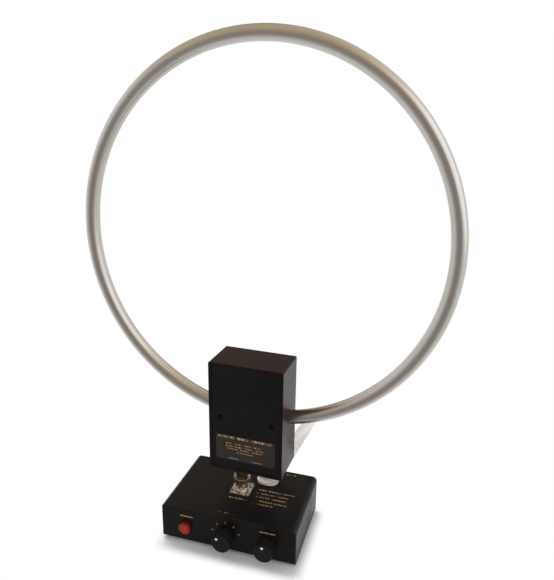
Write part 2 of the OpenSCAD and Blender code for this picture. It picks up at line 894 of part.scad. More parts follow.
module loop_clamps() {
    color("#d9d4c3") on_head() difference() {
        union() {
            for (x = sides) translate([x * clamp_x - clamp_w / 2, clamp_front, clamp_z])
                cube([clamp_w, back_inner - clamp_front, clamp_h]);
            at_lid_screws() rod_y(boss_d, lid_back, clamp_front + cut);
        }
        tube_room();
        at_lid_screws() rod_y(small_screw_d + 2 * fixed_gap, lid_back - cut, lid_back + lid_screw_len);
        at_clamp_screws() rod_y(small_screw_d + 2 * fixed_gap, clamp_front - cut, back_inner + cut);
    }
}

module clamp_screws() {
    color("#a8a8aa") on_head() at_clamp_screws() translate([0, head_d / 2, 0]) rotate([-90, 0, 0])
        screw(small_screw_d, head_wall + screw_bite, small_head_h);
}

module loop_leads() {
    x = tube_gap / 2 + cut;
    color("#b5452f") on_head() for (side = sides) translate([side * x + loop_shift, 0, tube_height(x)])
        rod_y(lead_d, head_board_back, loop_back - tube_d / 2 - fixed_gap);
}

module head_board() {
    color("#2d6a3f") on_head() difference() {
        translate([-head_board_w / 2, head_board_back - board_t, head_board_z])
            cube([head_board_w, board_t, head_board_top - head_board_z]);
        at_head_pillars()
            rod_y(small_screw_d + 2 * clearance_hole, head_board_back - board_t - cut, back_inner);
    }
}

module head_board_screws() {
    color("#a8a8aa") on_head() at_head_pillars() translate([0, head_board_back - board_t, 0])
        rotate([90, 0, 0]) screw(small_screw_d, board_t + screw_bite, small_head_h);
}

module head_board_parts() {
    toroid_r = 4.5;
    toroid_d = 4;
    chip = [10, 2.4, 6];
    cap_d = 4;
    cap_h = 4.6;
    face = head_board_back - board_t;
    middle = (head_board_z + head_board_top) / 2;
    row = 12;
    color("#8f9196") on_head() translate([0, face, middle]) {
        translate([0, -toroid_d / 2, row]) rotate([90, 0, 0])
            rotate_extrude() translate([toroid_r, 0]) circle(d = toroid_d);
        for (z = [0, -row]) translate([-chip.x / 2, -chip.y, z - chip.z / 2]) cube(chip);
        for (x = sides) translate([x * row / 2, 0, 2 * row - cap_d / 2]) rod_y(cap_d, -cap_h, 0);
    }
}

module plug_body() {
    guide_d = barrel_d - 4 * run_gap;
    color("#3a3936") difference() {
        union() {
            rod_z(barrel_bore - 2 * run_gap, mouth_z - sleeve_len, mouth_z + clear_gap);
            rod_z(guide_d, mouth_z + clear_gap, nut_top + clear_gap);
            rod_z(plug_neck_d, nut_top + clear_gap, head_z - plug_flange_t);
            rod_z(plug_flange_d, head_z - plug_flange_t, head_z);
            rod_z(plug_stub_d, head_z, plug_top);
        }
        rod_z(plug_bore_d, mouth_z - sleeve_len - cut, mouth_z + cut);
        rod_z(plug_core_d, mouth_z, plug_top + cut);
    }
}

module plug_insulator() {
    color("#ecebe4") difference() {
        rod_z(plug_core_d - 2 * fixed_gap, mouth_z + cut, plug_top);
        rod_z(pin_d + 2 * fixed_gap, mouth_z, plug_top + cut);
    }
}

module plug_pin() {
    color("#c9a552") rod_z(pin_d, mouth_z - pin_reach, plug_top + tail_len);
}

module plug_nut() {
    color("#c4c4c6") translate([0, 0, head_z + head_wall])
        hex_nut(big_nut_af, big_nut_t, plug_stub_d + 2 * fixed_gap);
}

module plug_lead() {
    color("#b5452f") on_head() translate([-head_offset, 0, 0]) {
        rod_z(lead_d, head_wall + plug_stub + tail_len, lead_z);
        translate([0, 0, lead_z]) {
            sphere(d = lead_d);
            rod_y(lead_d, head_board_back, 0);
        }
    }
}

// Clear strip that steadies the head: its foot rides over the base box and its tip cradles the tube
module clear_stay() {
    left = stay_foot_x - stay_foot_w / 2;
    cradle_y = loop_back + tube_d / 4;
    color([0.88, 0.92, 0.95, 0.4]) difference() {
        rotate([0, 0, head_turn]) {
            translate([0, 0, base_top]) along_y(stay_y, stay_y + stay_t) polygon([
                [left, clear_gap],
                [left + stay_foot_w, clear_gap],
                [stay_tip_x + stay_tip_w / 2, stay_tip_h],
                [stay_tip_x - stay_tip_w / 2, stay_tip_h]
            ]);
            translate([stay_foot_x, stay_toe_y + stay_foot_d / 2, base_top + clear_gap])
                linear_extrude(stay_foot_t)
                    intersection() {
                        square([stay_foot_w, stay_foot_d], center = true);
                        translate([0, stay_foot_r])
                            round_rect(stay_foot_w, stay_foot_d + 2 * stay_foot_r, stay_foot_r);
                    }
            translate([stay_tip_x - stay_tip_w / 2, cradle_y, stay_tip_z - tube_d / 2])
                cube([stay_tip_w, stay_y - cradle_y + cut, tube_d / 2]);
        }
        on_head() tube_room();
        on_head() at_stay_screws()
            rod_y(small_screw_d + 2 * fixed_gap, stay_y - cut, stay_y + stay_t + cut);
    }
}

module stay_screws() {
    color("#a8a8aa") on_head() at_stay_screws() translate([0, stay_y + stay_t, 0]) rotate([-90, 0, 0])
        screw(small_screw_d, stay_t + head_wall, small_head_h);
}

base_chassis();
base_cover();
cover_screws();
rubber_feet();
antenna_socket();
socket_screws();
socket_insulator();
socket_contact();
circuit_board();
board_pillars();
board_screws();
board_parts();
aerial_lead();
power_switch();
band_switch();
tuning_control();
control_nuts();
receiver_socket();
receiver_insulator();
receiver_contact();
power_jack();
power_jack_pin();
rear_nuts();
button_cap();
button_stem();
band_knob();
band_shaft();
band_pointer();
band_grub_screw();
tuning_knob();
tuning_shaft();
tuning_pointer();
tuning_grub_screw();
coupling_nut();
head_case();
head_lid();
lid_screws();
label_plate();
loop_tube();
tube_bushes();
loop_clamps();
clamp_screws();
loop_leads();
head_board();
head_board_screws();
head_board_parts();
plug_body();
plug_insulator();
plug_pin();
plug_nut();
plug_lead();
clear_stay();
stay_screws();
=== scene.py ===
import json
import math

import bmesh
import bpy
from mathutils import Euler, Matrix, Vector


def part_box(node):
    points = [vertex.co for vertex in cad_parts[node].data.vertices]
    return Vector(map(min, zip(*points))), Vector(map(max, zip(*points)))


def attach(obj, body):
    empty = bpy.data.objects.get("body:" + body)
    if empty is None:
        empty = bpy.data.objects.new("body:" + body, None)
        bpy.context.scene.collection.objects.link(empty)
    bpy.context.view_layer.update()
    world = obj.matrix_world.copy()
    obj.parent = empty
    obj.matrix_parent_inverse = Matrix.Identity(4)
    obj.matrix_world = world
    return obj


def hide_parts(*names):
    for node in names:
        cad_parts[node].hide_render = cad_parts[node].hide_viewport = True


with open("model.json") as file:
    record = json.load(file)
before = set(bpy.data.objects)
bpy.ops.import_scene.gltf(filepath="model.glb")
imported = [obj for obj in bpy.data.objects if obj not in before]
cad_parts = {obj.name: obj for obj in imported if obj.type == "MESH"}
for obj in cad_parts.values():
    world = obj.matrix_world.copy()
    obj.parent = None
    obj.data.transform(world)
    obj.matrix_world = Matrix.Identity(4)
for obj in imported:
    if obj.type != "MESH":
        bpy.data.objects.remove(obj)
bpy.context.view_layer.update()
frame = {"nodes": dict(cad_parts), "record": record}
nodes = frame["nodes"]
mm = 0.001

viewpoint = {
    "place": (143.1, -396.6, 342.7),  # mm from the foot of the swivel axis
    "azimuth": 16.13,
    "elevation": 16.75,
    "roll": 1.0,
    "lens": 35.06,
    "sensor": 36,
    "nearest": 10,  # mm, closer things aren't drawn
}


def setCamera(spec):
    data = bpy.data.cameras.new("photoCamera")
    data.sensor_fit = "AUTO"
    data.sensor_width = spec["sensor"]
    data.lens = spec["lens"]
    data.clip_start = spec["nearest"] * mm
    camera = bpy.data.objects.new("photoCamera", data)
    bpy.context.scene.collection.objects.link(camera)
    turn = Euler((math.radians(90 - spec["elevation"]), 0, math.radians(spec["azimuth"]))).to_matrix()
    turn = turn @ Matrix.Rotation(math.radians(spec["roll"]), 3, "Z")
    camera.matrix_world = Matrix.Translation(Vector(spec["place"]) * mm) @ turn.to_4x4()
    bpy.context.scene.camera = camera


setCamera(viewpoint)
print("camera set")


class Wire:  # one socket; sums and products of wires add their own Math nodes
    def __init__(self, paint, socket):
        self.paint = paint
        self.socket = socket

    def calc(self, operation, *terms):
        return self.paint.add("ShaderNodeMath", {"operation": operation}, dict(enumerate(terms)))

    def __add__(self, other):
        return self.calc("ADD", self, other)

    def __sub__(self, other):
        return self.calc("SUBTRACT", self, other)

    def __rsub__(self, other):
        return self.calc("SUBTRACT", other, self)

    def __mul__(self, other):
        return self.calc("MULTIPLY", self, other)

    def __truediv__(self, other):
        return self.calc("DIVIDE", self, other)

    def __rtruediv__(self, other):
        return self.calc("DIVIDE", other, self)

    def __pow__(self, other):
        return self.calc("POWER", self, other)

    def __rpow__(self, other):
        return self.calc("POWER", other, self)

    __radd__ = __add__
    __rmul__ = __mul__


cornerWear = {"samples": 4, "stops": ((0.02, 0), (0.25, 1))}  # how far a corner turns before it looks rubbed


class Paint:  # node tree of one material, or of the world
    def __init__(self, name, owner=None):
        self.owner = owner or bpy.data.materials.new(name)
        self.owner.use_nodes = True
        self.tree = self.owner.node_tree
        self.tree.nodes.clear()

    def add(self, kind, settings=None, sockets=None, out=0):
        made = self.tree.nodes.new(kind)
        for key, value in (settings or {}).items():
            if key == "stops":
                self.setStops(made.color_ramp, value)
            else:
                setattr(made, key, value)
        for key, value in (sockets or {}).items():
            if isinstance(value, Wire):
                self.tree.links.new(value.socket, made.inputs[key])
            else:
                made.inputs[key].default_value = value
        return Wire(self, made.outputs[out]) if made.outputs else None

    def setStops(self, ramp, stops):
        while len(ramp.elements) < len(stops):
            ramp.elements.new(0.5)
        for element, (place, shade) in zip(ramp.elements, stops):
            element.position = place
            element.color = (shade, shade, shade, 1)

    def spot(self):  # place on the piece, in metres from the row's origin
        return self.add("ShaderNodeTexCoord", out="Object")

    def split(self, vector, axes):
        return [self.add("ShaderNodeSeparateXYZ", None, {0: vector}, out=axis) for axis in axes]

    def noise(self, scale, detail=3.0, rough=0.5, where=None):
        sockets = {"Vector": where or self.spot(), "Scale": scale, "Detail": detail, "Roughness": rough}
        return self.add("ShaderNodeTexNoise", None, sockets)

    def ramp(self, value, *stops):
        return self.add("ShaderNodeValToRGB", {"stops": stops}, {0: value})

    def blend(self, share, first, second):
        return self.add("ShaderNodeMix", {"data_type": "RGBA"}, {0: share, 6: first, 7: second}, out=2)

    def bump(self, height, depth, strength=1.0):
        return self.add("ShaderNodeBump", None, {"Height": height, "Distance": depth, "Strength": strength})

    def edges(self, radius):  # 1 on worn corners, 0 on flat faces
        sharp = self.add("ShaderNodeBevel", {"samples": cornerWear["samples"]}, {"Radius": radius})
        flat = self.add("ShaderNodeNewGeometry", out="Normal")
        same = self.add("ShaderNodeVectorMath", {"operation": "DOT_PRODUCT"}, {0: sharp, 1: flat}, out="Value")
        return self.ramp(1 - same, *cornerWear["stops"])

    def shaderMix(self, share, first, second):
        return self.add("ShaderNodeMixShader", None, {0: share, 1: first, 2: second})

    def show(self, surface):
        self.add("ShaderNodeOutputMaterial", None, {"Surface": surface})
        return self.owner

    def finish(self, **sockets):
        return self.show(self.add("ShaderNodeBsdfPrincipled", None, sockets))


def rgb(red, green, blue):  # 0-255 as seen, to linear
    def linear(value):
        value = value / 255
        return value / 12.92 if value <= 0.04045 else ((value + 0.055) / 1.055) ** 2.4
    return (linear(red), linear(green), linear(blue), 1)


# in the dictionaries of the finishes, a grain is a count per metre, and depths and reaches are in mm

boxPaint = {
    "dark": rgb(20, 18, 17), "dust": rgb(54, 49, 45), "edge": rgb(80, 75, 72),
    "rough": 0.33, "gloss": 0.12,
    "peelGrain": 700, "hazeGrain": 38, "speckGrain": 2600, "rubbedGrain": 420,
    "peelDepth": 0.035, "cornerReach": 0.7,
}


def blackBoxPaint():  # stoved semi-gloss black: faint peel, thin dust, rubbed corners
    paint = Paint("blackBoxPaint")
    peel = paint.noise(boxPaint["peelGrain"], 2)
    haze = paint.ramp(paint.noise(boxPaint["hazeGrain"], 5, 0.62), (0.42, 0), (0.78, 1))
    specks = paint.ramp(paint.noise(boxPaint["speckGrain"], 1), (0.69, 0), (0.76, 1))
    corners = paint.edges(boxPaint["cornerReach"] * mm)
    rubbed = corners * paint.ramp(paint.noise(boxPaint["rubbedGrain"], 4), (0.42, 0), (0.62, 1))
    body = paint.blend(haze * 0.06 + specks * 0.2, boxPaint["dark"], boxPaint["dust"])
    return paint.finish(**{
        "Base Color": paint.blend(rubbed * 0.55, body, boxPaint["edge"]),
        "Roughness": boxPaint["rough"] + haze * 0.1 + specks * 0.15,
        "Specular IOR Level": boxPaint["gloss"],
        "Normal": paint.bump(peel, boxPaint["peelDepth"] * mm),
    })


# two copies of one plastic, painted light and shade: the case's is browner for its lit sides and top, the lid's a
# neutral black for the front
headPlastic = {
    "headShell": {"dark": rgb(19, 9, 7), "light": rgb(44, 26, 20), "edge": rgb(70, 60, 55), "gloss": 0.12},
    "headFront": {"dark": rgb(19, 18, 19), "light": rgb(34, 31, 31), "edge": rgb(70, 66, 65), "gloss": 0.11},
}
headSurface = {
    "rough": 0.24,
    "fineGrain": 1500, "patchGrain": 30, "rubbedGrain": 350,
    "fineDepth": 0.05, "cornerReach": 0.8,
}


def headMoulding(name):  # fine spark-eroded grain of a moulded case; the case and its front lid get two copies of one plastic, a painted light and shade: browner where the sides and top are lit from the right, a neutral black on the less lit front
    spec = headPlastic[name]
    paint = Paint(name)
    grain = paint.noise(headSurface["fineGrain"], 3, 0.6)
    patch = paint.ramp(paint.noise(headSurface["patchGrain"], 4, 0.6), (0.38, 0), (0.72, 1))
    corners = paint.edges(headSurface["cornerReach"] * mm)
    rubbed = corners * paint.ramp(paint.noise(headSurface["rubbedGrain"], 4), (0.4, 0), (0.65, 1))
    body = paint.blend(patch * 0.35 + grain * 0.15, spec["dark"], spec["light"])
    return paint.finish(**{
        "Base Color": paint.blend(rubbed * 0.5, body, spec["edge"]),
        "Roughness": headSurface["rough"] + patch * 0.08 + grain * 0.06,
        "Specular IOR Level": spec["gloss"],
        "Normal": paint.bump(grain, headSurface["fineDepth"] * mm),
    })


loopTube = {
    "pale": rgb(199, 195, 191), "warm": rgb(171, 163, 154), "nick": rgb(120, 116, 110),
    "rough": 0.21,
    "ring": 146.75 * mm,  # radius of the tube's middle line
    "lineFlow": (1.6, 26, 0.3),  # grain along the ring and round the tube, and a start of its own
    "bloomFlow": (2.2, 1.3, 1.7),
    "nickGrain": 900,
    "lineDepth": 0.02, "lineStrength": 0.35,
}


def drawnTube(centre, turn):  # satin drawn tube, its fine lines running round the ring
    paint = Paint("drawnTube")
    local = paint.add("ShaderNodeMapping", {"vector_type": "TEXTURE"}, {
        "Vector": paint.spot(), "Location": centre, "Rotation": (0, 0, turn)})
    x, y, z = paint.split(local, "XYZ")
    across = (x * x + z * z) ** 0.5 - loopTube["ring"]
    along = x.calc("ARCTAN2", z, x)
    around = x.calc("ARCTAN2", y, across)

    def flow(name):
        length, girth, start = loopTube[name]
        return paint.add("ShaderNodeCombineXYZ", None, {0: along * length, 1: around * girth, 2: start})

    lines = paint.noise(1, 2, 0.5, flow("lineFlow"))
    bloom = paint.ramp(paint.noise(1, 4, 0.55, flow("bloomFlow")), (0.34, 0), (0.7, 1))
    nicks = paint.ramp(paint.noise(loopTube["nickGrain"], 2), (0.7, 0), (0.78, 1))
    tone = paint.blend(bloom * 0.45 + lines * 0.3, loopTube["pale"], loopTube["warm"])
    return paint.finish(**{
        "Base Color": paint.blend(nicks * 0.12, tone, loopTube["nick"]),
        "Metallic": 1 - nicks * 0.06,
        "Roughness": loopTube["rough"] + lines * 0.13 + bloom * 0.08,
        "Normal": paint.bump(lines, loopTube["lineDepth"] * mm, loopTube["lineStrength"]),
    })


plating = {
    "nickelPlate": {"pale": rgb(226, 221, 210), "dull": rgb(158, 146, 124), "rough": 0.14, "grain": 420},
    "zincScrew": {"pale": rgb(196, 197, 199), "dull": rgb(128, 128, 128), "rough": 0.3, "grain": 420},
    "blackenedScrew": {"pale": rgb(46, 44, 43), "dull": rgb(22, 21, 21), "rough": 0.34, "grain": 420},
    "bronzedNeck": {"pale": rgb(132, 106, 80), "dull": rgb(58, 44, 34), "rough": 0.24, "grain": 420},
    "goldFlash": {"pale": rgb(226, 190, 110), "dull": rgb(170, 126, 58), "rough": 0.22, "grain": 300},
    "zincBody": {"pale": rgb(170, 172, 175), "dull": rgb(112, 114, 118), "rough": 0.42, "grain": 120},
}
platedSurface = {"finer": 9, "fineDepth": 0.01}  # satin grain, so many times finer than the tarnish


def platedMetal(name):  # plated metal: tarnish in patches over a fine satin grain
    spec = plating[name]
    paint = Paint(name)
    tarnish = paint.ramp(paint.noise(spec["grain"], 4, 0.6), (0.36, 0), (0.72, 1))
    fine = paint.noise(spec["grain"] * platedSurface["finer"], 2)
    return paint.finish(**{
        "Base Color": paint.blend(tarnish * 0.6, spec["pale"], spec["dull"]),
        "Metallic": 1.0,
        "Roughness": spec["rough"] + tarnish * 0.14 + fine * 0.06,
        "Normal": paint.bump(fine, platedSurface["fineDepth"] * mm),
    })


plastics = {
    "whiteDot": {"pale": rgb(240, 239, 234), "deep": rgb(214, 211, 202), "rough": 0.45, "grain": 500},
    "socketCore": {"pale": rgb(232, 229, 219), "deep": rgb(206, 201, 188), "rough": 0.42, "grain": 400},
    "stemNylon": {"pale": rgb(224, 221, 212), "deep": rgb(198, 194, 182), "rough": 0.45, "grain": 300},
    "clampNylon": {"pale": rgb(216, 210, 192), "deep": rgb(188, 181, 160), "rough": 0.5, "grain": 150},
    "blackInlet": {"pale": rgb(40, 39, 39), "deep": rgb(20, 19, 19), "rough": 0.4, "grain": 260},
    "greyParts": {"pale": rgb(140, 142, 147), "deep": rgb(84, 86, 91), "rough": 0.45, "grain": 170},
    "leadSheath": {"pale": rgb(186, 62, 44), "deep": rgb(140, 40, 28), "rough": 0.48, "grain": 220},
    "footRubber": {"pale": rgb(38, 37, 36), "deep": rgb(17, 16, 16), "rough": 0.78, "grain": 320},
}
mouldedSurface = {"fineGrain": 2400, "fineDepth": 0.02}


def moulded(name):  # moulded plastic or rubber: mottled tone, fine grain
    spec = plastics[name]
    paint = Paint(name)
    mottle = paint.ramp(paint.noise(spec["grain"], 4, 0.58), (0.34, 0), (0.74, 1))
    fine = paint.noise(mouldedSurface["fineGrain"], 2)
    return paint.finish(**{
        "Base Color": paint.blend(mottle, spec["pale"], spec["deep"]),
        "Roughness": spec["rough"] + mottle * 0.1 + fine * 0.05,
        "Normal": paint.bump(fine, mouldedSurface["fineDepth"] * mm),
    })


capPlastic = {
    # worn is the paler red of the cap's lit middle; deep is the darker red painted at the rim as shade
    "worn": rgb(174, 38, 30), "deep": rgb(92, 16, 14),
    "rough": 0.3, "gloss": 0.3,
    "smearGrain": 420, "fineGrain": 2200, "fineDepth": 0.015,
}


def redCap(low, high):  # red cap, a painted shade: it darkens towards the rim, and its middle stays the paler red
    paint = Paint("redCap")
    middle, radius = (low + high) / 2, (high.x - low.x) / 2
    local = paint.add("ShaderNodeVectorMath", {"operation": "SUBTRACT"}, {0: paint.spot(), 1: middle})
    x, z = paint.split(local, "XZ")
    # painted shade: 0 over the middle, rising to 1 at the rim
    rim = paint.ramp((x * x + z * z) ** 0.5 / radius, (0.5, 0), (1.0, 1))
    smear = paint.ramp(paint.noise(capPlastic["smearGrain"], 4, 0.6), (0.35, 0), (0.75, 1))
    fine = paint.noise(capPlastic["fineGrain"], 2)
    return paint.finish(**{
        "Base Color": paint.blend(rim * 0.85 + smear * 0.15, capPlastic["worn"], capPlastic["deep"]),
        "Roughness": capPlastic["rough"] + smear * 0.12,
        "Specular IOR Level": capPlastic["gloss"],
        "Normal": paint.bump(fine, capPlastic["fineDepth"] * mm),
    })


knobPlastic = {
    "dark": rgb(19, 18, 18), "worn": rgb(60, 56, 54),
    "rough": 0.46, "gloss": 0.12,
    "rubbedGrain": 500, "fineGrain": 1900,
    "fineDepth": 0.03, "cornerReach": 0.5,
}


def knobMoulding():  # black knob: fingers have polished its ribs
    paint = Paint("knobMoulding")
    corners = paint.edges(knobPlastic["cornerReach"] * mm)
    rubbed = corners * paint.ramp(paint.noise(knobPlastic["rubbedGrain"], 4), (0.32, 0), (0.6, 1))
    fine = paint.noise(knobPlastic["fineGrain"], 2)
    return paint.finish(**{
        "Base Color": paint.blend(rubbed * 0.6 + fine * 0.12, knobPlastic["dark"], knobPlastic["worn"]),
        "Roughness": knobPlastic["rough"] - rubbed * 0.14 + fine * 0.08,
        "Specular IOR Level": knobPlastic["gloss"],
        "Normal": paint.bump(fine, knobPlastic["fineDepth"] * mm),
    })


boardMask = {
    "green": rgb(34, 96, 56), "dark": rgb(22, 66, 40), "copper": rgb(120, 140, 84),
    "rough": 0.34,
    "stagger": 0.37,
    "tracks": {"Scale": 210, "Mortar Size": 0.11, "Brick Width": 0.9, "Row Height": 0.31},
    "blotchGrain": 140, "trackDepth": 0.03,
}


def solderMask():  # green mask over a hatch of tracks
    paint = Paint("solderMask")
    tracks = paint.add("ShaderNodeTexBrick", {"offset": boardMask["stagger"]}, {
        "Vector": paint.spot(), **boardMask["tracks"]}, out="Fac")
    blotch = paint.noise(boardMask["blotchGrain"], 3)
    mask = paint.blend(blotch, boardMask["green"], boardMask["dark"])
    return paint.finish(**{
        "Base Color": paint.blend(tracks * 0.6, mask, boardMask["copper"]),
        "Roughness": boardMask["rough"] + blotch * 0.12,
        "Normal": paint.bump(tracks, boardMask["trackDepth"] * mm),
    })


stayPlastic = {
    "tint": rgb(247, 243, 240), "frost": rgb(236, 225, 217),
    "rough": 0.1, "frostRough": 0.42, "ior": 1.49,
    "lean": 42,  # degrees that the streaks lean to the right
    "streak": (9, 9, 90),  # mm, size of one streak
    "hazeGrain": 160, "hazeDepth": 0.01,
    "footReach": 30,  # from the cut foot up
}


def clearStrip(foot):  # clear strip, frosted at its cut foot, scuffed in patches and in streaks along it
    paint = Paint("clearStrip")
    along = paint.add("ShaderNodeMapping", {"vector_type": "TEXTURE"}, {
        "Vector": paint.spot(), "Rotation": (0, math.radians(stayPlastic["lean"]), 0),
        "Scale": Vector(stayPlastic["streak"]) * mm})
    streak = paint.ramp(paint.noise(1, 2, 0.4, along), (0.4, 0), (0.62, 1))
    haze = paint.ramp(paint.noise(stayPlastic["hazeGrain"], 5, 0.65), (0.45, 0), (0.8, 1))
    height = paint.split(paint.spot(), "Z")[0] - foot
    cut = paint.ramp(height / (stayPlastic["footReach"] * mm), (0.25, 1), (0.6, 0))
    scuffs = paint.bump(haze, stayPlastic["hazeDepth"] * mm)
    clear = paint.add("ShaderNodeBsdfPrincipled", None, {
        "Base Color": stayPlastic["tint"], "Transmission Weight": 1.0, "IOR": stayPlastic["ior"],
        "Roughness": stayPlastic["rough"] + haze * 0.2, "Normal": scuffs})
    frost = paint.add("ShaderNodeBsdfPrincipled", None, {
        "Base Color": stayPlastic["frost"], "Roughness": stayPlastic["frostRough"] + haze * 0.2, "Normal": scuffs})
    share = cut * 0.5 + haze * 0.1 + streak * 0.34 + 0.06
    return paint.show(paint.shaderMix(share, clear, frost))


ink = {"gold": rgb(184, 148, 98), "thin": rgb(96, 74, 50), "rough": 0.42, "thinGrain": 900}


def goldInk():  # screen-printed ink, thin in places
    paint = Paint("goldInk")
    thin = paint.ramp(paint.noise(ink["thinGrain"], 4, 0.6), (0.42, 0), (0.72, 1))
    return paint.finish(**{
        "Base Color": paint.blend(thin * 0.8, ink["gold"], ink["thin"]),
        "Metallic": 0.1 - thin * 0.1,
        "Roughness": ink["rough"] + thin * 0.2,
    })


labelFoil = {
    "pale": rgb(54, 46, 42), "dark": rgb(36, 30, 28),
    "rough": 0.36,
    "hairGrain": (60, 900, 1800),  # hair lines run across the head
    "patchGrain": 70, "hairDepth": 0.008,
}


def labelFilm():  # dark grey foil label
    paint = Paint("labelFilm")
    brushed = paint.add("ShaderNodeMapping", None, {"Vector": paint.spot(), "Scale": labelFoil["hairGrain"]})
    hair = paint.noise(1, 4, 0.6, brushed)
    patch = paint.noise(labelFoil["patchGrain"], 3)
    return paint.finish(**{
        "Base Color": paint.blend(hair * 0.6 + patch * 0.3, labelFoil["dark"], labelFoil["pale"]),
        "Metallic": 0.25 + hair * 0.1,
        "Roughness": labelFoil["rough"] + patch * 0.12,
        "Normal": paint.bump(hair, labelFoil["hairDepth"] * mm),
    })


labelFace = min(nodes["label_plate"].data.polygons, key=lambda face: face.normal.y * face.area)
headTurn = math.atan2(labelFace.normal.x, -labelFace.normal.y)  # how far the head stands turned on its socket
ringLow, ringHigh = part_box("loop_tube")
ringMiddle = (ringLow + ringHigh) / 2
ringMiddle.z = ringHigh.z - (ringHigh.x - ringLow.x) / 2  # the ring's lowest part is inside the head and left open
finishes = {
    "box": blackBoxPaint(),
    "tube": drawnTube(ringMiddle, headTurn),
    "redCap": redCap(*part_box("button_cap")),
    "knob": knobMoulding(),
    "mask": solderMask(),
    "clear": clearStrip(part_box("clear_stay")[0].z),
    "ink": goldInk(),
    "film": labelFilm(),
}
finishes.update({name: headMoulding(name) for name in headPlastic})
finishes.update({name: platedMetal(name) for name in plating})
finishes.update({name: moulded(name) for name in plastics})
dressing = {
    "box": ["base_chassis", "base_cover"],
    "headShell": ["head_case", "tube_bushes"],
    "headFront": ["head_lid"],
    "tube": ["loop_tube"],
    "knob": ["band_knob", "tuning_knob"],
    "mask": ["circuit_board", "head_board"],
    "clear": ["clear_stay"],
    "film": ["label_plate"],
    "nickelPlate": ["antenna_socket", "receiver_socket", "coupling_nut"],
    "zincScrew": ["socket_screws", "board_screws", "control_nuts", "rear_nuts", "band_shaft", "tuning_shaft",
                  "clamp_screws", "head_board_screws", "plug_nut", "stay_screws"],
    "blackenedScrew": ["cover_screws", "lid_screws", "band_grub_screw", "tuning_grub_screw"],
    "bronzedNeck": ["plug_body"],
    "goldFlash": ["socket_contact", "board_pillars", "receiver_contact", "power_jack_pin", "plug_pin"],
    "zincBody": ["band_switch", "tuning_control"],
    "redCap": ["button_cap"],
    "whiteDot": ["band_pointer", "tuning_pointer"],
    "socketCore": ["socket_insulator", "receiver_insulator", "plug_insulator"],
    "stemNylon": ["button_stem"],
    "clampNylon": ["loop_clamps"],
    "blackInlet": ["power_switch", "power_jack"],
    "greyParts": ["board_parts", "head_board_parts"],
    "leadSheath": ["aerial_lead", "loop_leads", "plug_lead"],
    "footRubber": ["rubber_feet"],
}
finishOf = {node: finish for finish, names in dressing.items() for node in names}


def paintWith(piece, finish):
    piece.data.materials.clear()
    piece.data.materials.append(finishes[finish])


for nodeName, piece in nodes.items():
    paintWith(piece, finishOf[nodeName])
print("finishes:", len(finishes), "on", len(nodes), "solids")

bodyOf = {node: body for body, names in frame["record"]["behaviour"]["bodies"].items() for node in names}

softEdges = {  # radius in mm that each solid's sharp corners get
    "base_cover": 0.35,
    "base_chassis": 0.25,
    "head_case": 0.5,
    "head_lid": 0.25,
    "label_plate": 0.1,
    "button_cap": 0.35,
    "antenna_socket": 0.15,
    "coupling_nut": 0.12,
    "clear_stay": 0.3,
}
softening = {
    "weld": 0.002, "cut": 0.001,  # mm, points closer than this count as one
    "flat": 0.5,  # degrees, faces that differ less become one
    "sharp": 35,  # edges that turn more get the radius
    "crease": 40,  # and those that still turn more stay creased
    "steps": 2,
}
lowered = {"clear_stay": 2.8}  # mm off the top: the strip's tip stays out of sight behind the tube


def pieceFrom(shape, name, finish):
    mesh = bpy.data.meshes.new(name)
    shape.to_mesh(mesh)
    shape.free()
    piece = bpy.data.objects.new(name, mesh)
    bpy.context.scene.collection.objects.link(piece)
    paintWith(piece, finish)
    return piece


def lowerTop(shape, drop):  # cut the top off level and close the cut
    top = max(vert.co.z for vert in shape.verts) - drop * mm
    whole = shape.verts[:] + shape.edges[:] + shape.faces[:]
    cut = bmesh.ops.bisect_plane(shape, geom=whole, dist=softening["cut"] * mm, plane_co=(0, 0, top),
                                 plane_no=(0, 0, 1), clear_outer=True)
    rim = [edge for edge in cut["geom_cut"] if isinstance(edge, bmesh.types.BMEdge)]
    bmesh.ops.holes_fill(shape, edges=rim, sides=0)


def softenEdges(node, radius):
    flat, sharp, crease = (math.radians(softening[key]) for key in ("flat", "sharp", "crease"))
    shape = bmesh.new()
    shape.from_mesh(nodes[node].data)
    bmesh.ops.remove_doubles(shape, verts=shape.verts, dist=softening["weld"] * mm)
    bmesh.ops.dissolve_limit(shape, angle_limit=flat, verts=shape.verts, edges=shape.edges)
    if node in lowered:
        lowerTop(shape, lowered[node])
    corners = [edge for edge in shape.edges if edge.is_manifold and edge.calc_face_angle() > sharp]
    bmesh.ops.bevel(shape, geom=corners, offset=radius * mm, offset_type="OFFSET", segments=softening["steps"],
                    profile=0.5, affect="EDGES", clamp_overlap=True)
    bmesh.ops.recalc_face_normals(shape, faces=shape.faces)
    words = node.split("_")
    name = words[0] + "".join(word.capitalize() for word in words[1:]) + "Soft"
    piece = pieceFrom(shape, name, finishOf[node])
    piece.data.shade_smooth()
    piece.data.set_sharp_from_angle(angle=crease)
    weighted = piece.modifiers.new("evenNormals", "WEIGHTED_NORMAL")
    weighted.keep_sharp = True
    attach(piece, bodyOf[node])
    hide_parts(node)
    return piece


for nodeName, radius in softEdges.items():
    made = softenEdges(nodeName, radius)
    print("softened", made.name, len(made.data.polygons), "faces")

